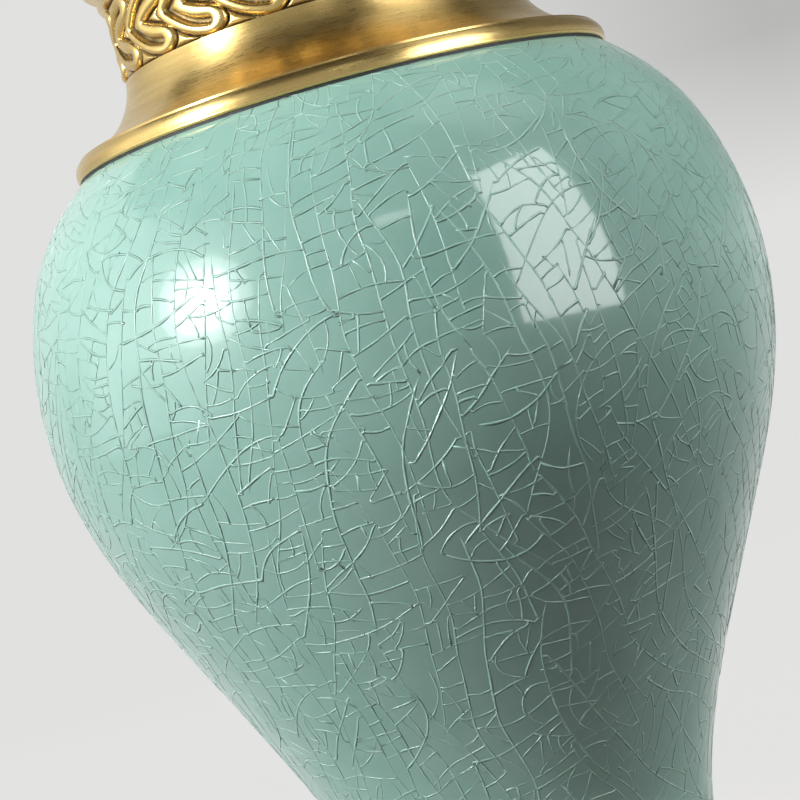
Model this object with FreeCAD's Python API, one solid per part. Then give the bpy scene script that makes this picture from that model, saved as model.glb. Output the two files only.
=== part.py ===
import FreeCAD, Part

import math
import os

# A tall lidded ginger jar: a hollow stoneware body with brass mounts at the neck and the foot,
# and a domed stoneware lid with a brass edge and a turned brass knob.
#
# Frame: +Z up along the jar's axis of revolution, origin at the centre of the base, millimetres.
# A profile point is (radius, height). Heights in the upper half are counted from one of two levels:
# the collar's lower edge on the shoulder, and the underside of the lid's rim.

# ---------------------------------------------------------------- driving dimensions
belly_radius = 140.0
collar_level = 346.0  # height of the collar's lower edge
wall = 7.0  # stoneware
sheet = 1.8  # spun brass
thin_sheet = 1.3  # brass liner and lid sleeve

neck_radius = 67.0  # stoneware neck, outside
neck_bore = 59.0  # stoneware neck, inside
mount_bore = 70.8  # inside of the cast and turned brass round the neck

band_base = 32.5  # above the collar level
band_height = 29.0
band_ground = 75.2  # radius of the sunk ground of the relief
band_crest = 77.3  # radius of the top of the relief
motif_count = 20
motif_phase = 1.6  # degrees from the front (-Y) to the middle of a motif, towards +X

mouth_rise = 11.5  # height of the mouth moulding above the band
seat_gap = 0.3  # between the mouth moulding and the lid that rests on it

foot_radius = 66.0
felt_height = 2.5
foot_ledge = 8.0
bedding_gap = 1.0
floor_height = 24.0  # inside of the jar's floor

lid_skirt_radius = 67.6  # stoneware lid, outside of its upright edge
lid_skirt_height = 18.0
dome_rise = 34.0
dome_wall = 6.0
stud_radius = 3.0
stud_clearance = 0.1

mouth_level = collar_level + band_base + band_height
lid_level = mouth_level + mouth_rise + seat_gap

Z = FreeCAD.Vector(0, 0, 1)
CENTRE = FreeCAD.Vector(0, 0, 0)

os.makedirs("parts", exist_ok=True)


# ---------------------------------------------------------------- helpers
def at(point, level=0.0):
    """A profile point (radius, height above level) as a vector in the XZ plane."""
    return FreeCAD.Vector(point[0], 0, point[1] + level)


def outline(level, start, *steps):
    """Closed run of edges. A step is a point for a line, a pair of points for an arc through the
    first to the second, or a ready-made curve, which carries on from the last point."""
    edges = []
    here = at(start, level)
    for step in steps:
        if isinstance(step, Part.BSplineCurve):
            edges.append(step.toShape())
            ends = [step.value(step.FirstParameter), step.value(step.LastParameter)]
            here = max(ends, key=lambda end: end.distanceToPoint(here))
            continue
        if isinstance(step[0], tuple):
            end = at(step[1], level)
            edges.append(Part.Arc(here, at(step[0], level), end).toShape())
        else:
            end = at(step, level)
            edges.append(Part.LineSegment(here, end).toShape())
        here = end
    first = at(start, level)
    if here.distanceToPoint(first) > 1e-6:
        edges.append(Part.LineSegment(here, first).toShape())
    return edges


def turned(level, start, *steps):
    """Solid of revolution about the jar's axis."""
    wire = Part.Wire(Part.__sortEdges__(outline(level, start, *steps)))
    return Part.Face(wire).revolve(CENTRE, Z, 360)


def ring(inner, outer, bottom, top):
    """Plain ring or, with inner 0, a disc."""
    return turned(0, (inner, bottom), (outer, bottom), (outer, top), (inner, top))


def on_circle(centre, radius, degrees):
    """Profile point on a circle; 180 degrees points at the axis, 270 degrees points down."""
    angle = math.radians(degrees)
    return (centre[0] + radius * math.cos(angle), centre[1] + radius * math.sin(angle))


def save(node, shape):
    shape = shape.removeSplitter()
    solids = len(shape.Solids)
    if not shape.isValid() or solids != 1:
        raise RuntimeError(f"{node}: {solids} solids, valid {shape.isValid()}")
    shape.Solids[0].exportStep(f"parts/{node}.step")
    print(f"{node:16s} {shape.Volume / 1000:8.1f} cm3")


# ---------------------------------------------------------------- stoneware jar
# Outside of the body from under the collar down to the foot, relative to the collar level.
body_profile = [
    (75.0, 14.0),
    (92.0, 6.6),
    (105.0, -3.0),
    (123.2, -23.0),
    (136.6, -57.0),
    (belly_radius, -88.0),
    (131.2, -137.0),
    (111.4, -181.0),
    (88.6, -226.0),
    (69.3, -273.0),
    (64.3, -300.0),
    (foot_radius, -324.0),
]


def body_curves():
    """Outside of the body as a smooth curve, and the inside one wall further in."""
    outside = Part.BSplineCurve()
    outside.interpolate([at(point, collar_level) for point in body_profile])
    inside_points = []
    for knot in outside.getKnots()[:-1]:
        along = outside.tangent(knot)[0]
        inwards = FreeCAD.Vector(along.z, 0, -along.x)
        inside_points.append(outside.value(knot) + inwards * wall)
    inside = Part.BSplineCurve()
    inside.interpolate(inside_points)
    return outside, inside


def jar_body():
    outside, inside = body_curves()
    foot_face = foot_ledge + bedding_gap
    neck_foot = (neck_radius, collar_level + 22)
    neck_fillet = (neck_radius + 2.3, collar_level + 16.3)
    shoulder = body_profile[0]
    inner_end = inside.value(inside.LastParameter)
    throat = (neck_bore, collar_level + 16)
    throat_turn = (neck_bore + 3.4, collar_level + 10.2)
    floor_corner = 10.0
    corner_centre = (inner_end.x - floor_corner, floor_height + floor_corner)
    return turned(
        0,
        (neck_bore, mouth_level),
        (neck_radius, mouth_level),
        neck_foot,
        (neck_fillet, (shoulder[0], collar_level + shoulder[1])),
        outside,
        (foot_radius, foot_face),
        (foot_radius - 14, foot_face),
        (foot_radius - 14, foot_face + 6),
        (0, foot_face + 6),
        (0, floor_height),
        (corner_centre[0], floor_height),
        (on_circle(corner_centre, floor_corner, -45), (inner_end.x, corner_centre[1])),
        (inner_end.x, inner_end.z),
        inside,
        (throat_turn, throat),
    )


# ---------------------------------------------------------------- brass mounts of the neck
cove_centre = (105.0, 36.0)  # of the collar's concave sweep, outside the metal
cove_radius = 28.8
collar_edge = 103.2


def circle_height(centre, radius, at_radius):
    """Height of the lower half of a profile circle at a given distance from the axis."""
    return centre[1] - math.sqrt(radius**2 - (at_radius - centre[0]) ** 2)


def circle_inset(centre, radius, at_height):
    """Distance from the axis of the near half of a profile circle at a given height."""
    return centre[0] - math.sqrt(radius**2 - (at_height - centre[1]) ** 2)


def collar_skirt():
    """Spun collar: rounded edge, a fine step, and a concave sweep up to the band."""
    land = 101.2
    inner_radius = cove_radius + sheet
    ledge = band_base - sheet
    return turned(
        collar_level,
        (collar_edge - sheet, 0),
        (collar_edge - 0.4, 0),
        ((collar_edge + 0.3, 0.35), (collar_edge + 0.5, 1.2)),
        ((collar_edge + 0.4, 4.0), (land + 0.8, 6.6)),
        (land + 0.2, 6.5),
        (land, circle_height(cove_centre, cove_radius, land)),
        (
            on_circle(cove_centre, cove_radius, 225),
            (circle_inset(cove_centre, cove_radius, band_base), band_base),
        ),
        (mount_bore, band_base),
        (mount_bore, ledge),
        (circle_inset(cove_centre, inner_radius, ledge), ledge),
        (
            on_circle(cove_centre, inner_radius, 225),
            (collar_edge - sheet, circle_height(cove_centre, inner_radius, collar_edge - sheet)),
        ),
    )


def shoulder_gasket(jar):
    """Thin ring under the collar's edge, its underside shaped to the shoulder."""
    inner = collar_edge - sheet
    blank = turned(
        collar_level,
        (inner - 2.0, -2.0),
        (collar_edge - 0.5, -2.0),
        (collar_edge - 0.5, 0),
        (inner, 0),
        (inner, 2.4),
        (inner - 2.0, 2.4),
    )
    return blank.cut(jar)


def motif_face():
    """One hairpin of the relief, in the plane that touches the front of the band. It is a chevron
    that points to -X, with two rounded arms, and a slot runs along the middle of each arm."""
    tip = (0.0, 0.0)
    flank = (10.2, -9.3)
    arm_end = (25.0, -9.2)
    arm_radius = 5.0
    heel = on_circle(arm_end, arm_radius, 250)
    toe = on_circle(arm_end, arm_radius, -25)
    inner_end = on_circle(arm_end, arm_radius, 65)
    crotch = (15.1, 0.0)
    slot_tip = (7.0, 0.0)
    slot_end = (22.6, -9.0)
    slot_width = 1.5
    middle = 15.6  # of the motif's length
    level = collar_level + band_base + band_height / 2

    def place(point, side):
        return FreeCAD.Vector(point[0] - middle, -band_crest - 1.5, level + side * point[1])

    def arm(side):
        return [
            Part.Arc(place(tip, side), place(flank, side), place(heel, side)).toShape(),
            Part.Arc(place(heel, side), place(toe, side), place(inner_end, side)).toShape(),
            Part.LineSegment(place(inner_end, side), place(crotch, side)).toShape(),
        ]

    def slot(side):
        along = place(slot_end, side) - place(slot_tip, side)
        across = along.cross(FreeCAD.Vector(0, 1, 0)).normalize() * slot_width / 2
        corners = [
            place(slot_tip, side) + across,
            place(slot_end, side) + across,
            place(slot_end, side) - across,
            place(slot_tip, side) - across,
        ]
        return Part.Face(Part.makePolygon(corners + corners[:1]))

    chevron = Part.Face(Part.Wire(Part.__sortEdges__(arm(1) + arm(-1))))
    return chevron.cut(slot(1)).cut(slot(-1))


def relief_band():
    """Cast band: a ring with the hairpins standing on its sunk ground."""
    low = collar_level + band_base
    ground = ring(mount_bore, band_ground, low, low + band_height)
    shell = ring(band_ground - 1.5, band_crest, low, low + band_height)
    prism = motif_face().extrude(FreeCAD.Vector(0, 6, 0))
    raised = prism.common(shell)
    copies = []
    for index in range(motif_count):
        copy = raised.copy()
        copy.rotate(CENTRE, Z, motif_phase + index * 360 / motif_count)
        copies.append(copy)
    return ground.fuse(copies)


def mouth_rim():
    """Turned moulding above the band: a bead, a small hollow, and a rounded lip for the lid."""
    bore = neck_bore - 1.4
    liner_lip = thin_sheet
    return turned(
        mouth_level,
        (mount_bore, 0),
        (band_crest + 0.9, 0),
        ((band_crest + 2.1, 1.5), (band_crest + 0.9, 3.0)),
        ((band_crest + 1.9, 6.0), (band_crest + 5.2, 7.0)),
        ((band_crest + 6.9, 9.0), (band_crest + 5.2, 11.0)),
        (band_crest + 4.2, mouth_rise),
        (bore + 2.0, mouth_rise),
        ((bore + 0.6, mouth_rise - 0.6), (bore, mouth_rise - 2.0)),
        (bore, liner_lip),
        (mount_bore, liner_lip),
    )


def neck_liner():
    """Thin sleeve inside the neck, with its lip turned out over the stoneware."""
    outer = neck_bore - 0.1
    return turned(
        mouth_level,
        (outer - thin_sheet, -38),
        (outer, -38),
        (outer, 0),
        (mount_bore - 0.2, 0),
        (mount_bore - 0.2, thin_sheet),
        (outer - thin_sheet, thin_sheet),
    )


# ---------------------------------------------------------------- foot
def foot_ring():
    """Turned ring that the jar's foot stands in: the collar's shape, upside down, with a bead."""
    top = 31.0
    inner = 50.0
    socket = foot_radius + 0.4
    return turned(
        0,
        (inner, felt_height),
        (foot_radius + 13.0, felt_height),
        ((foot_radius + 14.2, 5.6), (foot_radius + 13.0, 8.8)),
        (foot_radius + 12.2, 8.8),
        (foot_radius + 12.0, 9.7),
        ((foot_radius + 5.6, 13.6), (foot_radius + 2.6, 22.0)),
        (foot_radius + 3.0, 22.6),
        ((foot_radius + 4.4, 25.4), (foot_radius + 3.0, 28.2)),
        (foot_radius + 2.4, 28.6),
        (foot_radius + 1.6, top),
        (socket, top),
        (socket, foot_ledge),
        (inner, foot_ledge),
    )


# ---------------------------------------------------------------- lid
lid_cove_centre = (84.0, 20.5)
lid_cove_radius = 14.36
lid_edge = 83.0


def lid_rim():
    """Spun edge of the lid: the collar's shape at a smaller size, closed underneath."""
    land = 81.3
    inner_radius = lid_cove_radius + sheet
    top = lid_skirt_height
    bore = lid_skirt_radius + 0.1
    wall_radius = lid_edge - sheet
    return turned(
        lid_level,
        (bore, 0),
        (lid_edge, 0),
        ((lid_edge + 0.8, 2.4), (land + 0.7, 5.6)),
        (land + 0.2, 5.6),
        (land, circle_height(lid_cove_centre, lid_cove_radius, land)),
        (
            on_circle(lid_cove_centre, lid_cove_radius, 225),
            (circle_inset(lid_cove_centre, lid_cove_radius, top), top),
        ),
        (bore, top),
        (bore, top - 1.0),
        (
            on_circle(lid_cove_centre, inner_radius, 215),
            (wall_radius - 1.2, circle_height(lid_cove_centre, inner_radius, wall_radius - 1.2)),
        ),
        (wall_radius - 1.2, sheet),
        (bore, sheet),
    )


def lid_flange():
    """Flat flange under the lid, with the sleeve that reaches into the neck."""
    sleeve = 55.6
    return turned(
        lid_level,
        (sleeve - thin_sheet, -20),
        (sleeve, -20),
        (sleeve, 0),
        (lid_skirt_radius, 0),
        (lid_skirt_radius, sheet),
        (sleeve - thin_sheet, sheet),
    )


dome_height = lid_skirt_height + dome_rise
dome_radius = (lid_skirt_radius**2 + dome_rise**2) / (2 * dome_rise)
dome_centre = dome_height - dome_radius
pad_height = dome_height - dome_wall - 6  # flat underside of the boss at the top of the dome
pad_radius = 14.0


def dome_outside(radius):
    """Height of the lid's outside above the lid level, at a distance from the axis."""
    return dome_centre + math.sqrt(dome_radius**2 - radius**2)


def dome_inside(radius):
    return dome_centre + math.sqrt((dome_radius - dome_wall) ** 2 - radius**2)


def lid_dome():
    """Domed stoneware lid with an upright edge and a drilled boss for the knob's stud."""
    hole = stud_radius + 0.6
    inner = lid_skirt_radius - dome_wall
    half_way = lid_skirt_radius * 0.55
    return turned(
        lid_level,
        (inner, sheet),
        (lid_skirt_radius, sheet),
        (lid_skirt_radius, lid_skirt_height),
        ((half_way, dome_outside(half_way)), (hole, dome_outside(hole))),
        (hole, pad_height),
        (pad_radius, pad_height),
        (pad_radius, dome_inside(pad_radius)),
        ((half_way, dome_inside(half_way)), (inner, dome_inside(inner))),
    )


# ---------------------------------------------------------------- knob and its fastening
rose_height = 8.0
knob_base = dome_height + rose_height


def finial_base():
    """Turned rose under the knob, hollowed to sit on the dome."""
    blank = turned(
        lid_level,
        (stud_radius + stud_clearance, dome_height - 5),
        (21.0, dome_height - 5),
        (21.0, dome_height - 1.2),
        ((21.6, dome_height), (20.6, dome_height + 1.0)),
        (19.0, dome_height + 1.4),
        ((12.2, dome_height + 3.0), (10.0, knob_base - 0.4)),
        (9.4, knob_base),
        (stud_radius + stud_clearance, knob_base),
    )
    dome = Part.makeSphere(dome_radius, FreeCAD.Vector(0, 0, lid_level + dome_centre))
    return blank.cut(dome)


def finial_knob():
    """Turned knob: a collar, a waist, a ball and a small bud with a flat centre on top."""
    low = knob_base
    bore = stud_radius + stud_clearance
    ball = (0, low + 15.0)
    ball_radius = 11.5
    bud = (0, low + 29.6)
    bud_radius = 4.4
    tip = on_circle(bud, bud_radius, 82)
    return turned(
        lid_level,
        (0, low + 14),
        (bore, low + 14),
        (bore, low),
        (8.0, low),
        ((9.0, low + 1.2), (8.0, low + 2.4)),
        ((5.8, low + 3.8), on_circle(ball, ball_radius, -55)),
        (on_circle(ball, ball_radius, 0), on_circle(ball, ball_radius, 66)),
        ((3.3, low + 26.2), on_circle(bud, bud_radius, -38)),
        (on_circle(bud, bud_radius, 22), tip),
        (0, tip[1]),
    )


def finial_stud():
    """Threaded stud that draws the knob and the washers on to the lid."""
    bottom = pad_height - 11.0
    top = knob_base + 13.0
    chamfer = 0.6
    return turned(
        lid_level,
        (0, bottom),
        (stud_radius - chamfer, bottom),
        (stud_radius, bottom + chamfer),
        (stud_radius, top - chamfer),
        (stud_radius - chamfer, top),
        (0, top),
    )


cushion_height = 1.5
washer_height = 1.2
nut_height = 5.0


def hung(bottom, height, inner, outer):
    """Ring under the lid's boss; heights above the lid level."""
    return ring(inner, outer, lid_level + bottom, lid_level + bottom + height)


def cushion_washer():
    return hung(pad_height - cushion_height, cushion_height, stud_radius + 0.6, 12.5)


def stud_washer():
    bottom = pad_height - cushion_height - washer_height
    return hung(bottom, washer_height, stud_radius + 0.2, 9.0)


def stud_nut():
    """Hexagon nut, 10 mm across flats, with its corners turned off."""
    across_flats = 10.0
    corner = across_flats / math.sqrt(3)
    bottom = lid_level + pad_height - cushion_height - washer_height - nut_height
    corners = []
    for side in range(7):
        angle = math.radians(60 * side)
        corners.append(FreeCAD.Vector(corner * math.cos(angle), corner * math.sin(angle), bottom))
    prism = Part.Face(Part.makePolygon(corners)).extrude(Z * nut_height)
    top = bottom + nut_height
    envelope = turned(
        0,
        (stud_radius + stud_clearance, bottom),
        (across_flats / 2, bottom),
        (corner + 0.2, bottom + 0.8),
        (corner + 0.2, top - 0.8),
        (across_flats / 2, top),
        (stud_radius + stud_clearance, top),
    )
    return prism.common(envelope)


# ---------------------------------------------------------------- build
jar = jar_body()
save("jar_body", jar)
save("shoulder_gasket", shoulder_gasket(jar))
save("collar_skirt", collar_skirt())
save("relief_band", relief_band())
save("mouth_rim", mouth_rim())
save("neck_liner", neck_liner())
save("neck_bedding", ring(neck_radius, mount_bore, collar_level + 24, mouth_level))
save("foot_ring", foot_ring())
save("foot_bedding", ring(foot_radius - 13, foot_radius - 1, foot_ledge, foot_ledge + bedding_gap))
save("foot_felt", ring(52.0, foot_radius + 11.0, 0, felt_height))
save("lid_dome", lid_dome())
save("lid_rim", lid_rim())
save("lid_flange", lid_flange())
save("lid_seal", ring(55.6, 57.2, lid_level - 13, lid_level - 7))
save("finial_base", finial_base())
save("finial_knob", finial_knob())
save("finial_stud", finial_stud())
save("cushion_washer", cushion_washer())
save("stud_washer", stud_washer())
save("stud_nut", stud_nut())
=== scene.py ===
import math

import bpy
import numpy as np
from mathutils import Matrix, Vector


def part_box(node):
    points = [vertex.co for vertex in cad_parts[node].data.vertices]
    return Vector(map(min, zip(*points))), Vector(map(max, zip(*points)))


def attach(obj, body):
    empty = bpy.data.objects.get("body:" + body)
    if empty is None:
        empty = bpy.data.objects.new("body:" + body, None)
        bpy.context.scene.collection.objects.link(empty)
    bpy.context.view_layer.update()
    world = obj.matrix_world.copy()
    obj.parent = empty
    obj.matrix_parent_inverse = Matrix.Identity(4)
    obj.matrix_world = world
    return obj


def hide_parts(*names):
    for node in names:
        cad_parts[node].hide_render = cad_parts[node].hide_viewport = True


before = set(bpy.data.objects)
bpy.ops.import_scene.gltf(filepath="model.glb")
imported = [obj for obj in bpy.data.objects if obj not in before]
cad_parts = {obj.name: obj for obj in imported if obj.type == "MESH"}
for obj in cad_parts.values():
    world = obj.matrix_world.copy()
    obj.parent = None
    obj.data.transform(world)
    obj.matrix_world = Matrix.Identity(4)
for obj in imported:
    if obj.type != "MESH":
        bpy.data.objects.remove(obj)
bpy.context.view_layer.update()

# Looks for a tall brass-mounted ginger jar with a crackle glaze. Everything is in metres, +Z up,
# with the jar's axis on the Z axis and its front towards -Y.
MM = 0.001

collar_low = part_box("collar_skirt")[0].z  # underside of the collar, on the shoulder


# ---------------------------------------------------------------- camera
# The view is level with the belly from a metre away, and rolled, so that the jar leans left.
CAMERA_DISTANCE = 1.0
CAMERA_ASIDE = 0.003  # to the right of the jar's axis
CAMERA_DROP = 0.1224  # below the collar's edge
CAMERA_YAW, CAMERA_PITCH, CAMERA_ROLL = 0.63, 0.70, 15.51
LENS, SENSOR = 118.2, 36  # millimetres


def make_camera():
    data = bpy.data.cameras.new("camera")
    data.lens = LENS
    data.sensor_width = SENSOR
    data.clip_start = 0.01
    data.clip_end = 100
    camera = bpy.data.objects.new("camera", data)
    bpy.context.scene.collection.objects.link(camera)
    turn = (
        Matrix.Rotation(math.radians(CAMERA_YAW), 4, "Z")
        @ Matrix.Rotation(math.radians(CAMERA_PITCH), 4, "X")
        @ Matrix.Rotation(math.radians(CAMERA_ROLL), 4, "Y")
    )
    level = Matrix.Rotation(math.radians(90), 4, "X")  # a camera looks along its own -Z
    place = Matrix.Translation((CAMERA_ASIDE, -CAMERA_DISTANCE, collar_low - CAMERA_DROP))
    camera.matrix_world = place @ turn @ level
    bpy.context.scene.camera = camera


make_camera()


# ---------------------------------------------------------------- node helpers
class Nodes:
    """Small wrapper for building a material's node tree."""

    def __init__(self, name):
        self.material = bpy.data.materials.new(name)
        self.material.use_nodes = True
        self.tree = self.material.node_tree
        self.tree.nodes.clear()
        self.shader = self.add("ShaderNodeBsdfPrincipled")
        out = self.add("ShaderNodeOutputMaterial")
        self.link(self.shader.outputs[0], out.inputs["Surface"])

    def add(self, kind, inputs=None, **settings):
        node = self.tree.nodes.new(kind)
        for key, value in settings.items():
            setattr(node, key, value)
        for key, value in (inputs or {}).items():
            self.feed(node.inputs[key], value)
        return node

    def feed(self, socket, value):
        if isinstance(value, bpy.types.NodeSocket):
            self.tree.links.new(value, socket)
        else:
            socket.default_value = value

    def link(self, out, socket):
        self.tree.links.new(out, socket)

    def set(self, **values):
        """Sets or links the shader's own inputs, with _ for the spaces in their names."""
        for key, value in values.items():
            self.feed(self.shader.inputs[key.replace("_", " ")], value)

    def math(self, operation, a, b=0.0):
        return self.add("ShaderNodeMath", {0: a, 1: b}, operation=operation).outputs[0]

    def noise(self, vector, scale, detail=2.0, roughness=0.5, distortion=0.0):
        node = self.add("ShaderNodeTexNoise", {"Vector": vector, "Scale": scale, "Detail": detail})
        node.inputs["Roughness"].default_value = roughness
        node.inputs["Distortion"].default_value = distortion
        return node.outputs["Fac"]

    def spread(self, value, low, high, to_low=0.0, to_high=1.0):
        """Turns the range from low to high into another, and holds it at its ends."""
        inputs = {"Value": value, "From Min": low, "From Max": high}
        inputs |= {"To Min": to_low, "To Max": to_high}
        return self.add("ShaderNodeMapRange", inputs).outputs[0]

    def mix(self, factor, a, b):
        node = self.add("ShaderNodeMix", data_type="RGBA")
        self.feed(node.inputs["Factor"], factor)
        self.feed(node.inputs["A"], a)
        self.feed(node.inputs["B"], b)
        return node.outputs["Result"]

    def place(self):
        """Position on the jar, in metres, which moves with the piece."""
        return self.add("ShaderNodeTexCoord").outputs["Object"]

    def bump(self, height, distance, strength=1.0, normal=None):
        inputs = {"Height": height, "Distance": distance, "Strength": strength}
        node = self.add("ShaderNodeBump", inputs)
        if normal is not None:
            self.link(normal, node.inputs["Normal"])
        return node.outputs[0]


def rgb(red, green, blue):
    """Linear colour from display values 0 to 255."""
    values = []
    for part in (red, green, blue):
        part /= 255
        values.append(part / 12.92 if part <= 0.04045 else ((part + 0.055) / 1.055) ** 2.4)
    return (*values, 1.0)


# ---------------------------------------------------------------- materials
GLAZE_DEEP, GLAZE_THIN = rgb(127, 171, 157), rgb(139, 182, 168)
GLAZE_MOTTLE, GLAZE_SPECK = rgb(150, 190, 178), rgb(70, 96, 84)
# the palest tone is a painted highlight, mixed into the glaze of the crack ridges
GLAZE_PAINTED_HIGHLIGHT = rgb(206, 228, 218)
BRASS_DEEP, BRASS_LIGHT = rgb(206, 176, 108), rgb(222, 194, 128)
BRASS_STAIN, BRASS_GRIME = rgb(150, 120, 70), rgb(52, 38, 18)


def glaze(name="celadon_glaze", pale=0.0, roughness=0.07):
    """Sea-green glaze that pools a little darker in places. pale mixes in painted highlight."""
    n = Nodes(name)
    place = n.place()
    cloud = n.noise(place, 9, 3, 0.55)
    mottle = n.noise(place, 70, 4, 0.6)
    body = n.mix(n.spread(cloud, 0.35, 0.65), GLAZE_DEEP, GLAZE_THIN)
    body = n.mix(n.spread(mottle, 0.45, 0.75, 0.0, 0.30), body, GLAZE_MOTTLE)
    # painted highlight: the palest tone, mixed in as far as pale says
    body = n.mix(pale, body, GLAZE_PAINTED_HIGHLIGHT)
    speck = n.add("ShaderNodeTexVoronoi", {"Vector": place, "Scale": 160.0}).outputs["Distance"]
    spot = n.spread(speck, 0.03, 0.06, 0.5, 0.0)
    rare = n.spread(n.noise(place, 55, 1), 0.62, 0.66)
    colour = n.mix(n.math("MULTIPLY", spot, rare), body, GLAZE_SPECK)
    ripple = n.noise(place, 38, 2)
    n.set(Base_Color=colour, Roughness=roughness, IOR=1.52, Normal=n.bump(ripple, 0.00012, 0.5))
    n.set(Coat_Weight=0.3, Coat_Roughness=0.3)
    return n.material


TURNING_STRETCH = 0.005  # metres that stand for one radian, so that turning lines come out long


def turned_place(n):
    """Coordinates that run along a turned piece's profile and only slowly round it."""
    split = n.add("ShaderNodeSeparateXYZ", {0: n.place()})
    x, y, z = split.outputs
    radius = n.math("SQRT", n.math("ADD", n.math("MULTIPLY", x, x), n.math("MULTIPLY", y, y)))
    angle = n.math("MULTIPLY", n.math("ARCTAN2", y, x), TURNING_STRETCH)
    joined = n.add("ShaderNodeCombineXYZ", {0: radius, 1: angle, 2: z})
    return joined.outputs[0], radius


def brass(name, brushed=1.0, patina=0.05, roughness=0.29, low=None, high=None):
    """Antique brass: brushed round its axis, with brown patina in patches. With low and high it is
    also dark where the radius is small, all the way below low and not at all above high."""
    n = Nodes(name)
    lines, radius = turned_place(n)
    place = n.place()
    brush = n.noise(lines, 1900, 3, 0.7)
    streak = n.noise(lines, 420, 2, 0.6)
    cloud = n.noise(place, 26, 4, 0.6, 0.4)
    grime = n.noise(place, 130, 4, 0.65)
    metal = n.mix(n.spread(streak, 0.3, 0.7), BRASS_DEEP, BRASS_LIGHT)
    metal = n.mix(n.spread(cloud, 0.35, 0.7, 0.0, patina), metal, BRASS_STAIN)
    spots = n.math("ADD", cloud, n.math("MULTIPLY", grime, 0.25))
    dark = n.spread(spots, 0.66, 0.95, 0.0, patina)
    if low is not None:
        depth = n.spread(radius, low, high, 1.0, 0.0)
        broken = n.math("MULTIPLY", depth, n.spread(grime, 0.25, 0.6, 0.55, 1.0))
        dark = n.math("MAXIMUM", dark, broken)
    colour = n.mix(dark, metal, BRASS_GRIME)
    uneven = n.spread(brush, 0.3, 0.7, -0.05, 0.07)
    rough = n.math("ADD", uneven, n.spread(dark, 0, 1, roughness, 0.55))
    relief = n.bump(brush, 0.00002, 0.15 * brushed)
    relief = n.bump(grime, 0.00004, 0.08, relief)
    metallic = n.spread(dark, 0, 1, 1.0, 0.55)
    n.set(Base_Color=colour, Metallic=metallic, Roughness=rough, Normal=relief)
    if brushed > 0.5:
        n.set(Anisotropic=0.8, Anisotropic_Rotation=0.25)
        round_axis = n.add("ShaderNodeTangent", direction_type="RADIAL", axis="Z")
        n.set(Tangent=round_axis.outputs[0])
    return n.material


def cement():
    n = Nodes("cement")
    place = n.place()
    grain = n.noise(place, 900, 5, 0.7)
    cloud = n.noise(place, 60, 3)
    colour = n.mix(n.spread(cloud, 0.3, 0.7), rgb(196, 190, 176), rgb(218, 213, 202))
    colour = n.mix(n.spread(grain, 0.5, 0.8, 0.0, 0.6), colour, rgb(150, 144, 132))
    n.set(Base_Color=colour, Roughness=0.92, Normal=n.bump(grain, 0.0003, 0.8))
    return n.material


def rubber(name, tone):
    n = Nodes(name)
    place = n.place()
    grain = n.noise(place, 1400, 3, 0.6)
    dust = n.noise(place, 90, 4, 0.6)
    colour = n.mix(n.spread(dust, 0.45, 0.8, 0.0, 0.35), rgb(*tone), rgb(66, 66, 62))
    rough = n.spread(grain, 0.3, 0.7, 0.5, 0.72)
    n.set(Base_Color=colour, Roughness=rough, Normal=n.bump(grain, 0.00006, 0.6))
    return n.material


def felt():
    """Dark green pressed felt: short fibres that lie in all directions."""
    n = Nodes("felt")
    place = n.place()
    fibre = n.noise(place, 1500, 4, 0.8, 2.5)
    tuft = n.noise(place, 260, 3, 0.6, 1.0)
    colour = n.mix(n.spread(fibre, 0.35, 0.7), rgb(26, 44, 34), rgb(58, 84, 66))
    colour = n.mix(n.spread(tuft, 0.4, 0.8, 0.0, 0.5), colour, rgb(38, 58, 46))
    height = n.math("ADD", fibre, n.math("MULTIPLY", tuft, 0.6))
    n.set(Base_Color=colour, Roughness=0.95, Normal=n.bump(height, 0.0004, 0.9))
    n.set(Sheen_Weight=0.5, Sheen_Roughness=0.4)
    return n.material


def steel():
    n = Nodes("brushed_steel")
    lines, _ = turned_place(n)
    brush = n.noise(lines, 2400, 3, 0.7)
    stain = n.noise(n.place(), 220, 3)
    colour = n.mix(n.spread(stain, 0.3, 0.75), rgb(196, 197, 196), rgb(150, 150, 148))
    rough = n.spread(brush, 0.3, 0.7, 0.24, 0.42)
    n.set(Base_Color=colour, Metallic=1.0, Roughness=rough, Normal=n.bump(brush, 0.00004, 0.6))
    return n.material


def dress(material, *nodes):
    """Gives a material to CAD pieces."""
    for node in nodes:
        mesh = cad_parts[node].data
        mesh.materials.clear()
        mesh.materials.append(material)


# The relief band's ground and crests, as radii.
BAND_GROUND, BAND_CREST = 75.2 * MM, 77.3 * MM
GLAZE = glaze()
# the ridges get a little painted highlight: a paler tone mixed into their glaze
RIDGE_GLAZE = glaze("celadon_ridges", 0.07, 0.25)
SPUN_BRASS = brass("spun_brass")
CAST_BRASS = brass("cast_brass", 0.4, 0.12, 0.27, BAND_GROUND, BAND_GROUND + 0.8 * MM)
dress(GLAZE, "jar_body", "lid_dome")
dress(SPUN_BRASS, "collar_skirt", "mouth_rim", "foot_ring", "lid_rim", "lid_flange")
dress(SPUN_BRASS, "finial_base", "finial_knob", "finial_stud")
dress(CAST_BRASS, "relief_band")
dress(brass("liner_brass", 0.6, 0.6, 0.34), "neck_liner")
dress(rubber("black_gasket", (14, 16, 16)), "shoulder_gasket")
dress(rubber("seal_rubber", (34, 36, 36)), "lid_seal", "cushion_washer")
dress(felt(), "foot_felt")
dress(cement(), "neck_bedding", "foot_bedding")
dress(steel(), "stud_washer", "stud_nut")


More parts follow.
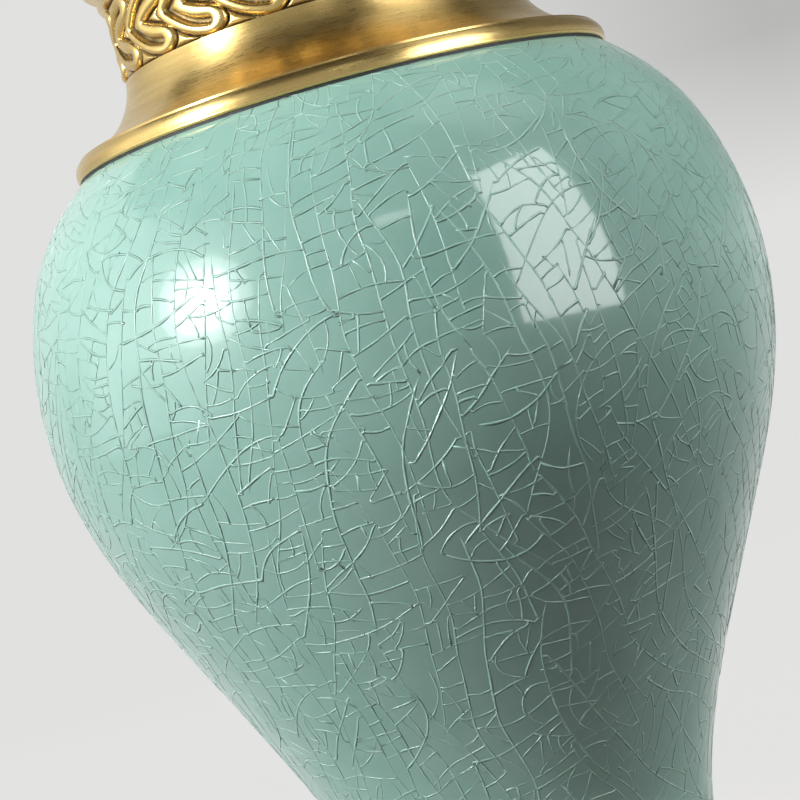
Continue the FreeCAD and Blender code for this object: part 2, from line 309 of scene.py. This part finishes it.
# ---------------------------------------------------------------- relief band
# The cast band as a height field round a cylinder. One hairpin, in millimetres: it points to -X,
# its rib runs between an outline and a slot, and hairpins nest in each other round the band.
MOTIFS = 20
MOTIF_PHASE = 1.6  # degrees from the front to the middle of a hairpin
MOTIF_MIDDLE = 15.6  # along X, from the point of a hairpin
HALF_OUTLINE = [  # the lower half; the upper half mirrors it
    (0.0, 0.0), (0.9, -2.0), (4.7, -5.9), (10.8, -10.2), (16.6, -13.0), (22.4, -14.4),
    (27.6, -13.7), (30.6, -10.6), (29.9, -6.8), (26.4, -4.1), (20.8, -2.2), (15.6, 0.0),
]
HALF_SLOT = [(6.0, 0.0), (11.2, -4.3), (16.8, -7.6), (23.4, -9.3)]  # its middle line
SLOT_HALF_WIDTH = 0.9
RELIEF = BAND_CREST - BAND_GROUND
CREASE, CROWN = -0.30, 0.44  # bottom of the creases and top of the ground between ribs
RIB_FULLNESS = 2.4  # 2 is a round rib, and more is a flatter one
GROUND_EASE = 0.9  # millimetres in which the ground rises out of a crease
BAND_COLUMNS, BAND_ROWS = 58, 72  # mesh columns to a hairpin, and rows up the band
BAND_INNER = 70.9 * MM


def smooth_run(points, parts=6):
    """Points of a smooth (Catmull-Rom) curve through the given ones, with parts to each span."""
    ends = [np.array(p) for p in [points[0], *points, points[-1]]]
    run = []
    for a, b, c, d in zip(ends, ends[1:], ends[2:], ends[3:]):
        for t in np.linspace(0, 1, parts, endpoint=False):
            run.append(
                0.5 * (2 * b + (c - a) * t + (2 * a - 5 * b + 4 * c - d) * t**2
                       + (3 * b - a - 3 * c + d) * t**3)
            )
    run.append(ends[-1])
    return np.array(run)


def distance_to_run(points, run):
    """Distance of each point to an open run of straight pieces."""
    best = np.full(len(points), 1e9)
    for a, b in zip(run, run[1:]):
        span = b - a
        t = np.clip(((points - a) @ span) / max(span @ span, 1e-12), 0, 1)
        gap = points - a - t[:, None] * span
        best = np.minimum(best, np.hypot(gap[:, 0], gap[:, 1]))
    return best


def inside_run(points, run):
    """Whether each point lies inside a closed run."""
    inside = np.zeros(len(points), bool)
    for a, b in zip(run, np.roll(run, -1, axis=0)):
        crosses = (a[1] > points[:, 1]) != (b[1] > points[:, 1])
        rise = np.where(b[1] == a[1], 1e-9, b[1] - a[1])
        at_x = a[0] + (points[:, 1] - a[1]) / rise * (b[0] - a[0])
        inside ^= crosses & (points[:, 0] < at_x)
    return inside


def hairpin_height(points):
    """Height of one hairpin from 0 to 1, and the distance to its outline from outside."""
    folded = np.stack([points[:, 0], -np.abs(points[:, 1])], 1)
    outline = smooth_run(HALF_OUTLINE)
    to_outline = distance_to_run(folded, outline)
    closed = np.vstack([outline, [(outline[-1][0], 0.001), (0.0, 0.001)]])
    inside = inside_run(folded, closed)
    to_slot = distance_to_run(folded, smooth_run(HALF_SLOT)) - SLOT_HALF_WIDTH
    in_slot = to_slot < 0
    ratio = (to_outline - to_slot) / np.maximum(to_outline + to_slot, 1e-6)
    ratio = np.clip(ratio, -1, 1)
    height = np.sqrt(np.clip(1 - np.abs(ratio) ** RIB_FULLNESS, 0, 1))
    height = np.where(inside & ~in_slot, height, CREASE)
    return height, np.where(inside, 0.0, to_outline)


def relief_band():
    """The whole band: the height field outside, closed by a plain wall inside."""
    low, high = (corner.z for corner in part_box("relief_band"))
    columns, rows = BAND_COLUMNS, BAND_ROWS
    pitch = 2 * math.pi * BAND_CREST / MM / MOTIFS
    across = (np.arange(columns) / columns - 0.5) * pitch
    up = np.linspace(-(high - low) / 2, (high - low) / 2, rows + 1) / MM
    x, y = np.meshgrid(across, up, indexing="ij")
    height, apart = np.full(x.size, CREASE), np.full(x.size, 1e9)
    for neighbour in (-1, 0, 1):
        local = np.stack([x.ravel() + MOTIF_MIDDLE + neighbour * pitch, y.ravel()], 1)
        one, off = hairpin_height(local)
        taken = one > height
        height = np.where(taken, one, height)
        apart = np.minimum(apart, off)
    border = (high - low) / 2 / MM - np.abs(y.ravel())
    rise = 1 - np.exp(-((np.minimum(apart, border) / GROUND_EASE) ** 2))
    ground = CREASE + (CROWN - CREASE) * rise
    height = np.maximum(height, ground).reshape(x.shape)
    height[:, 0] = height[:, -1] = 0
    radius = BAND_GROUND + RELIEF * height
    verts, faces = [], []
    around = columns * MOTIFS
    for column in range(around):
        angle = math.radians(MOTIF_PHASE) + (column / columns - 0.5) * 2 * math.pi / MOTIFS
        sine, cosine = math.sin(angle), -math.cos(angle)
        for row in range(rows + 1):
            size = radius[column % columns, row]
            verts.append((size * sine, size * cosine, low + (high - low) * row / rows))
        verts.append((BAND_INNER * sine, BAND_INNER * cosine, high))
        verts.append((BAND_INNER * sine, BAND_INNER * cosine, low))
    tall = rows + 3
    for column in range(around):
        here, after = column * tall, (column + 1) % around * tall
        for row in range(tall):
            above = (row + 1) % tall
            faces.append((here + row, after + row, after + above, here + above))
    mesh = bpy.data.meshes.new("relief_band_cast")
    mesh.from_pydata(verts, [], faces)
    mesh.shade_smooth()
    mesh.set_sharp_from_angle(angle=math.radians(75))
    piece = bpy.data.objects.new("relief_band_cast", mesh)
    bpy.context.scene.collection.objects.link(piece)
    piece.data.materials.append(CAST_BRASS)
    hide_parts("relief_band")
    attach(piece, "jar")


relief_band()


# ---------------------------------------------------------------- crackle of the glaze
# The crackle is raised: each crack is a fine ridge in the glaze. Long cracks follow a slowly
# turning direction, arcs curve across them, cross cracks run between them at about right angles,
# and short ones fill the cells that are left. Nearly all end where they meet another.
STEP = 0.0014  # length of one step of a growing crack
SHOULDER = 0.265  # above this height there are few arcs
WRIGGLE_KEPT = 0.93  # share of a wriggle that carries on into the next step
RIDGE_SINK = 0.00006  # how far a ridge's foot lies under the glaze
RIDGE_SIZES = (0.75, 1.15)  # range of a ridge's size against its style's
LOOSE_TAPER = 0.15  # size of a ridge at a loose end
GRAIN_LEAN, GRAIN_SWING, GRAIN_START = 0.26, 0.56, 0.45  # how the long cracks turn round the jar
CALM_LEVEL, CALM_DEPTH, CALM_LEAST = 0.31, 0.10, 0.35  # long cracks run straighter up there
WAVES = ((14, 0.30), (22, 0.26), (34, 0.20), (60, 0.13), (95, 0.08))  # per metre, and radians


class Surface:
    """Outside of a turned stoneware piece, as a curve of (radius, height) by its own length."""

    def __init__(self, node, low, high):
        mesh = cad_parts[node].data
        co = np.array([v.co for v in mesh.vertices])
        normal = np.array([v.normal for v in mesh.vertices])
        radius = np.hypot(co[:, 0], co[:, 1])
        outward = (normal[:, :2] * co[:, :2]).sum(1) / np.maximum(radius, 1e-9)
        margin = 0.004
        within = (co[:, 2] > low - margin) & (co[:, 2] < high + margin)
        keep = (outward > 0.05) & within
        heights, first = np.unique(np.round(co[keep, 2], 5), return_index=True)
        radii = radius[keep][first]
        length = np.concatenate([[0], np.cumsum(np.hypot(np.diff(heights), np.diff(radii)))])
        self.length, self.radii, self.heights = length, radii, heights
        self.start = float(np.interp(low, heights, length))
        self.end = float(np.interp(high, heights, length))

    def radius(self, along):
        return float(np.interp(along, self.length, self.radii))

    def point(self, along, angle):
        radius = np.interp(along, self.length, self.radii)
        height = np.interp(along, self.length, self.heights)
        return np.stack([radius * np.sin(angle), -radius * np.cos(angle), height], -1)

    def normal(self, along, angle):
        step = 0.0015
        rise = np.interp(along + step, self.length, self.heights)
        rise = rise - np.interp(along - step, self.length, self.heights)
        swell = np.interp(along + step, self.length, self.radii)
        swell = swell - np.interp(along - step, self.length, self.radii)
        size = np.hypot(rise, swell)
        out, up = rise / size, -swell / size
        return np.stack([out * np.sin(angle), -out * np.cos(angle), up], -1)


class Crackle:
    """Grows cracks one after another over a surface."""

    CELL = 0.006  # side of the cubes in which points of cracks are looked up

    def __init__(self, surface, seed):
        self.surface = surface
        self.random = np.random.default_rng(seed)
        self.grid = {}
        self.cracks = []
        self.waves = [
            (self.random.normal(0, 1, 3) * pitch, self.random.uniform(0, 6.3), size)
            for pitch, size in WAVES
        ]

    def grain(self, point, angle):
        """Direction of the long cracks at a point, turned from straight down, in radians."""
        x, y, z = point
        turn = GRAIN_LEAN + GRAIN_SWING * math.sin(angle - GRAIN_START)
        calm = min(1.0, max(CALM_LEAST, (CALM_LEVEL - z) / CALM_DEPTH))
        for (kx, ky, kz), phase, size in self.waves:
            turn += calm * size * math.sin(kx * x + ky * y + kz * z + phase)
        return turn

    def cell(self, point):
        return tuple(int(math.floor(c / self.CELL)) for c in point)

    def near(self, point, reach, kinds, skip=None):
        """Nearest point of another crack within reach, as (distance, point, crack number)."""
        cx, cy, cz = self.cell(point)
        best = (reach, None, None)
        x, y, z = point
        for i in (cx - 1, cx, cx + 1):
            for j in (cy - 1, cy, cy + 1):
                for k in (cz - 1, cz, cz + 1):
                    for px, py, pz, number, kind, along, angle in self.grid.get((i, j, k), ()):
                        if number == skip or kind not in kinds:
                            continue
                        d = math.sqrt((px - x) ** 2 + (py - y) ** 2 + (pz - z) ** 2)
                        if d < best[0]:
                            best = (d, (along, angle), number)
        return best

    def grow(self, along, angle, heading_offset, bend, number, length, style):
        """Half of a crack from a seed. heading_offset 0 runs down the grain, pi up it."""
        surface, random = self.surface, self.random
        path = []
        travelled = 0.0
        passes = style["passes"]
        passed = set()
        wander = 0.0
        here = surface.point(along, angle)
        heading = self.grain(here, angle) + heading_offset
        joined = False
        while travelled < length:
            wander = WRIGGLE_KEPT * wander + random.normal(0, style["wander"])
            if style["follow"]:
                want = self.grain(here, angle) + heading_offset
                heading += style["follow"] * (want - heading)
            heading += (bend + wander) * STEP
            along_next = along - math.cos(heading) * STEP
            angle_next = angle + math.sin(heading) * STEP / max(surface.radius(along), 0.004)
            if not surface.start < along_next < surface.end:
                path.append((along_next, angle_next))
                break
            along, angle = along_next, angle_next
            here = surface.point(along, angle)
            path.append((along, angle))
            travelled += STEP
            if travelled < 2 * STEP:
                continue
            _, found, other = self.near(here, style["join"], style["meets"], number)
            if found is None or other in passed:
                continue
            if passes > 0 and random.random() < style["pass_chance"]:
                passed.add(other)
                passes -= 1
                continue
            path.append(found)
            joined = True
            break
        return path, joined

    def add(self, along, angle, style):
        """Grows one crack both ways from a seed. Most cracks with a loose end are given up."""
        number = len(self.cracks)
        random = self.random
        total = random.uniform(*style["length"])
        share = random.uniform(0.35, 0.65)
        turn = style["turn"] + random.normal(0, style["skew"])
        bend = random.normal(0, style["bend"])
        down, down_joined = self.grow(along, angle, turn, bend, number, total * share, style)
        back, rest = turn + math.pi, total * (1 - share)
        up, up_joined = self.grow(along, angle, back, -bend, number, rest, style)
        path = up[::-1] + [(along, angle)] + down
        loose_end = not (up_joined and down_joined) and random.random() > style["loose"]
        if loose_end or len(path) < style["least"]:
            return
        for s, a in path:
            x, y, z = self.surface.point(s, a)
            cell = self.cell((x, y, z))
            self.grid.setdefault(cell, []).append((x, y, z, number, style["kind"], s, a))
        ridge = {"path": path, "style": style, "ends": (up_joined, down_joined)}
        ridge["size"] = random.uniform(*RIDGE_SIZES)
        self.cracks.append(ridge)

    def seed_point(self):
        """A random place, with the same chance for every bit of the surface."""
        surface, random = self.surface, self.random
        widest = float(surface.radii.max())
        while True:
            along = random.uniform(surface.start, surface.end)
            if random.random() < surface.radius(along) / widest:
                return along, random.uniform(-math.pi, math.pi)

    def scatter(self, tries, style):
        """Seeds cracks of one style wherever others of its kinds leave a gap."""
        for _ in range(tries):
            along, angle = self.seed_point()
            here = self.surface.point(along, angle)
            if here[2] > SHOULDER and self.random.random() < style.get("low_only", 0):
                continue
            gap = style["gap"] * self.random.uniform(0.7, 1.3)
            if self.near(here, gap, style["apart"])[1] is None:
                self.add(along, angle, style)

    def mesh(self, name):
        """One mesh of ridges, each a closed three-sided bar that is sunk into the glaze."""
        verts, faces = [], []
        for crack in self.cracks:
            path = np.array(thin(crack["path"]))
            if len(path) < 3:
                continue
            points = self.surface.point(path[:, 0], path[:, 1])
            normals = self.surface.normal(path[:, 0], path[:, 1])
            along = np.gradient(points, axis=0)
            along /= np.maximum(np.linalg.norm(along, axis=1)[:, None], 1e-9)
            side = np.cross(along, normals)
            taper = np.ones(len(path))
            for end, joined in zip((0, -1), crack["ends"]):
                if not joined:
                    taper[end] = LOOSE_TAPER
            width = crack["style"]["width"] / 2 * crack["size"] * taper[:, None]
            height = crack["style"]["height"] * crack["size"] * taper[:, None]
            sunk = points - normals * RIDGE_SINK
            base = len(verts)
            verts += list(sunk - side * width) + list(points + normals * height)
            verts += list(sunk + side * width)
            count = len(path)
            left, crest, right = base, base + count, base + 2 * count
            for i in range(count - 1):
                faces.append((left + i, left + i + 1, crest + i + 1, crest + i))
                faces.append((crest + i, crest + i + 1, right + i + 1, right + i))
                faces.append((right + i, right + i + 1, left + i + 1, left + i))
            faces.append((left, crest, right))
            last = count - 1
            faces.append((left + last, right + last, crest + last))
        mesh = bpy.data.meshes.new(name)
        mesh.from_pydata([tuple(v) for v in verts], [], faces)
        mesh.shade_smooth()
        piece = bpy.data.objects.new(name, mesh)
        bpy.context.scene.collection.objects.link(piece)
        return piece


def thin(path, reach=0.00006, longest=4):
    """Leaves out points of a path that lie on the line between their neighbours."""
    scale = np.array([1.0, 0.1])  # turns (length, angle) into metres, near enough
    kept = [path[0]]
    start = 0
    for i in range(2, len(path)):
        a, b = np.array(path[start]), np.array(path[i])
        span = b - a
        off = 0.0
        for j in range(start + 1, i):
            d = (np.array(path[j]) - a) * scale
            s = span * scale
            off = max(off, abs(d[0] * s[1] - d[1] * s[0]) / max(np.hypot(*s), 1e-9))
        if off > reach or i - start > longest:
            kept.append(path[i - 1])
            start = i - 1
    kept.append(path[-1])
    return kept


# A style is how one generation of cracks grows. Lengths are in metres.
#   kind, tries: number of the generation, and how many seeds it gets for each seed of the first
#   turn, skew: direction against the grain, and its spread; follow: pull back to that direction
#   bend, wander: curvature of a whole crack and of its wriggles, per metre
#   length, least: range of length, and the fewest points that make a crack
#   meets, join: kinds that it ends on, and from how near; loose: share kept with a loose end
#   passes, pass_chance: how many it may cross, and how often it does
#   apart, gap: kinds that a seed keeps away from, and how far; low_only: share left out high up
#   width, height: size of the ridge
LONG = dict(kind=0, tries=1, turn=0.0, skew=0.10, follow=0.08, bend=5, wander=8.0,
            length=(0.05, 0.20), least=9, meets=(0,), join=0.0022, loose=1.0,
            passes=1, pass_chance=0.15, apart=(0,), gap=0.0070, width=0.00108, height=0.00010)
ARC = dict(kind=1, tries=2, turn=-1.0, skew=0.30, follow=0.0, bend=19, wander=9.0,
           length=(0.020, 0.070), least=8, meets=(0, 1), join=0.0021, loose=0.25,
           passes=3, pass_chance=0.60, apart=(1,), gap=0.0092, low_only=0.7,
           width=0.00116, height=0.00011)
CROSS = dict(kind=2, tries=7, turn=math.pi / 2, skew=0.25, follow=0.05, bend=34, wander=12.0,
             length=(0.022, 0.050), least=4, meets=(0, 1, 2), join=0.0017, loose=0.15,
             passes=1, pass_chance=0.20, apart=(1, 2), gap=0.0035, width=0.00104, height=0.00010)
FILL = dict(kind=3, tries=4, turn=0.1, skew=0.45, follow=0.0, bend=45, wander=9,
            length=(0.010, 0.024), least=4, meets=(0, 1, 2, 3), join=0.0014, loose=0.25,
            passes=0, pass_chance=0.0, apart=(0, 1, 3), gap=0.0028, width=0.00094, height=0.00009)


def craze(name, node, body, low, high, seed, tries):
    """Grows all generations of cracks on one stoneware piece."""
    crackle = Crackle(Surface(node, low, high), seed)
    for style in (LONG, ARC, CROSS, FILL):
        crackle.scatter(style["tries"] * tries, style)
    piece = crackle.mesh(name)
    piece.data.materials.append(RIDGE_GLAZE)
    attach(piece, body)
    print(name, len(crackle.cracks), "cracks", len(piece.data.polygons), "faces")


jar_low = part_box("foot_ring")[1].z - 0.002
craze("jar_crackle", "jar_body", "jar", jar_low, collar_low + 0.0005, 11, 1500)
lid_low, lid_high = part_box("lid_rim")[1].z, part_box("finial_base")[0].z
craze("lid_crackle", "lid_dome", "lid", lid_low - 0.0005, lid_high - 0.0002, 5, 260)


# ---------------------------------------------------------------- stage and light
# The stage is a wide round dish. Near the jar it is pale paper; further out it glows a little, so
# that it reads as one even pale wall: brightest behind the jar, dimmer in front.
PAPER, BLACK = rgb(200, 200, 198), rgb(0, 0, 0)
PAPER_INNER, PAPER_OUTER = 0.14, 0.45  # radii between which the paper gives way to the glow
PAPER_LEFT = 0.02  # what is left of the paper outside
WALL_BACK, WALL_FRONT, WALL_LEFT, WALL_RIGHT = 0.75, 0.50, 1.0, 0.65
PAINTED_SHADOW_BEHIND, SHADE_FAR = 0.64, 0.45  # painted shade in the glow: up and to the right, behind the jar (its soft shadow) and beyond


def stage_material():
    n = Nodes("stage_paper")
    split = n.add("ShaderNodeSeparateXYZ", {0: n.place()})
    x, y, z = split.outputs
    radius = n.math("SQRT", n.math("ADD", n.math("MULTIPLY", x, x), n.math("MULTIPLY", y, y)))
    radius = n.math("MAXIMUM", radius, 0.01)
    east, north = n.math("DIVIDE", x, radius), n.math("DIVIDE", y, radius)
    behind = n.spread(north, -0.1, 0.75)
    left = n.spread(east, -0.2, -0.9)
    level = n.spread(behind, 0, 1, WALL_FRONT, WALL_BACK)
    side = n.math("MULTIPLY", left, n.spread(z, 0.05, 1.2, WALL_FRONT, WALL_LEFT))
    level = n.math("MAXIMUM", level, side)
    right = n.math("MULTIPLY", n.spread(east, 0.55, 0.9), n.spread(z, 0.1, 0.8))
    level = n.math("MAXIMUM", level, n.math("MULTIPLY", right, WALL_RIGHT))
    # painted shadow of the jar on the wall, up and to the right behind it
    painted_shadow = n.math("MULTIPLY", n.spread(x, 0.1, 0.9), n.spread(z, 0.45, 0.85))
    level = n.math("MULTIPLY", level, n.spread(painted_shadow, 0, 1, 1.0, PAINTED_SHADOW_BEHIND))
    # painted shade further out to the right, which darkens what the brass reflects
    far_right = n.math("MULTIPLY", n.spread(x, 1.2, 2.6), n.spread(z, 0.6, 1.4))
    level = n.math("MULTIPLY", level, n.spread(far_right, 0, 1, 1.0, SHADE_FAR))
    level = n.math("MULTIPLY", level, n.spread(radius, PAPER_INNER, PAPER_OUTER))
    paper = n.spread(radius, PAPER_INNER, PAPER_OUTER, 1.0, PAPER_LEFT)
    n.set(Base_Color=n.mix(paper, BLACK, PAPER), Roughness=0.95, Specular_IOR_Level=0.0)
    n.set(Emission_Color=(1.0, 1.0, 0.99, 1.0), Emission_Strength=level)
    return n.material


def make_stage():
    """Pale floor that turns up into a wall far away on every side."""
    floor_radius, bend, wall_height, around, steps = 3.0, 2.2, 3.0, 96, 24
    ring_points = [(0.0, 0.0), (floor_radius * 0.5, 0.0), (floor_radius, 0.0)]
    for step in range(1, steps + 1):
        angle = math.pi / 2 * step / steps
        ring_points.append((floor_radius + bend * math.sin(angle), bend * (1 - math.cos(angle))))
    ring_points.append((floor_radius + bend, bend + wall_height))
    verts, faces = [(0.0, 0.0, 0.0)], []
    for radius, height in ring_points[1:]:
        for step in range(around):
            angle = 2 * math.pi * step / around
            verts.append((radius * math.cos(angle), radius * math.sin(angle), height))
    for step in range(around):
        faces.append((0, 1 + step, 1 + (step + 1) % around))
    for row in range(len(ring_points) - 2):
        low, high = 1 + row * around, 1 + (row + 1) * around
        for step in range(around):
            after = (step + 1) % around
            faces.append((low + step, high + step, high + after, low + after))
    mesh = bpy.data.meshes.new("stage")
    mesh.from_pydata(verts, [], faces)
    mesh.shade_smooth()
    stage = bpy.data.objects.new("stage", mesh)
    bpy.context.scene.collection.objects.link(stage)
    mesh.materials.append(stage_material())
    stage.visible_diffuse = False  # the world alone gives the soft light all round


# How much light comes from each side of the world: axis, where the ramp starts and ends on it,
# and the strength at its start and its end.
WORLD_RAMPS = (
    ("X", 0.2, -1.0, 0.0, 0.70),
    ("X", 0.0, 1.0, 0.0, 0.68),
    ("Y", 0.2, 1.0, 0.0, 0.45),
    ("Z", -1.0, 0.9, 0.20, 0.55),
)


def make_world():
    """Soft light all round: strongest from the left and from above, weak from below."""
    world = bpy.data.worlds.new("world")
    bpy.context.scene.world = world
    world.use_nodes = True
    nodes, links = world.node_tree.nodes, world.node_tree.links
    split = nodes.new("ShaderNodeSeparateXYZ")
    links.new(nodes.new("ShaderNodeTexCoord").outputs["Generated"], split.inputs[0])
    level = None
    for axis, *values in WORLD_RAMPS:
        ramp = nodes.new("ShaderNodeMapRange")
        links.new(split.outputs[axis], ramp.inputs["Value"])
        for name, value in zip(("From Min", "From Max", "To Min", "To Max"), values):
            ramp.inputs[name].default_value = value
        if level is None:
            level = ramp.outputs[0]
            continue
        total = nodes.new("ShaderNodeMath")
        links.new(level, total.inputs[0])
        links.new(ramp.outputs[0], total.inputs[1])
        level = total.outputs[0]
    links.new(level, nodes["Background"].inputs["Strength"])


MIDDLE = Vector((0, 0, collar_low - 0.09))  # of the belly, where the lights aim


def light_place(azimuth, elevation, distance):
    """A place seen from the belly, with azimuth from the front towards +X, in degrees."""
    turn, rise = math.radians(azimuth), math.radians(elevation)
    flat = distance * math.cos(rise)
    up = distance * math.sin(rise)
    return MIDDLE + Vector((flat * math.sin(turn), -flat * math.cos(turn), up))


def make_light(name, place, power, size, size_y, shape="RECTANGLE", colour=(1, 1, 1),
               target=MIDDLE, shows="both"):
    """An area light. shows says whether it lights all, or only the diffuse or glossy part."""
    data = bpy.data.lights.new(name, "AREA")
    data.shape = shape
    data.size, data.size_y = size, size_y
    data.energy = power
    data.color = colour
    light = bpy.data.objects.new(name, data)
    bpy.context.scene.collection.objects.link(light)
    light.location = place
    light.rotation_mode = "QUATERNION"
    light.rotation_quaternion = (Vector(place) - Vector(target)).to_track_quat("Z", "Y")
    light.visible_diffuse = shows != "glossy"
    light.visible_glossy = shows != "diffuse"


def make_lights():
    # the key and the halo round its reflection
    key = light_place(-57, 21, 1.7)
    make_light("key", key, 15, 0.23, 0.15, "ELLIPSE")
    for size, power in ((0.34, 3.0), (0.50, 3.6), (0.72, 4.6), (1.00, 6.0)):
        place = light_place(-57, 21, 1.7 + size / 20)
        make_light("key_glow", place, power, size, 0.66 * size, "ELLIPSE", shows="glossy")
    # broad light from the left and from above
    side, top = light_place(-66, 24, 1.8), light_place(45, 50, 1.6)
    make_light("side", side, 38, 1.4, 1.2, colour=(1, 0.92, 0.96), shows="diffuse")
    make_light("top", top, 13, 1.2, 1.0, colour=(1, 0.96, 0.98), shows="diffuse")
    # the bright window in the glaze; it faces a point above the jar, which slants its edges
    window, above = light_place(50.5, 18.5, 1.6), MIDDLE + Vector((0, 0, 0.7))
    make_light("window", window, 25, 0.86, 1.4, target=above, shows="glossy")
    # a pale veil on the left flank
    for size, power in ((1.7, 2.8), (2.3, 4.6), (2.9, 7.5)):
        place = light_place(-80, 0, 2.0 + size / 20)
        make_light("veil", place, power, size, size, "DISK", shows="glossy")
    # the right flank and the back
    for name, azimuth, power in (("fill_right", 101, 28), ("fill_back", -155, 22)):
        make_light(name, light_place(azimuth, 22, 1.9), power, 1.3, 1.3, shows="diffuse")
    # the streak on the collar's right, and the small lamp in the glaze
    make_light("sky", light_place(75, 60, 1.6), 1.3, 0.8, 0.8, shows="glossy")
    make_light("lamp", light_place(7, 31, 1.5), 0.22, 0.26, 0.07, shows="glossy")


make_stage()
make_world()
make_lights()
bpy.context.scene.view_settings.view_transform = "Standard"
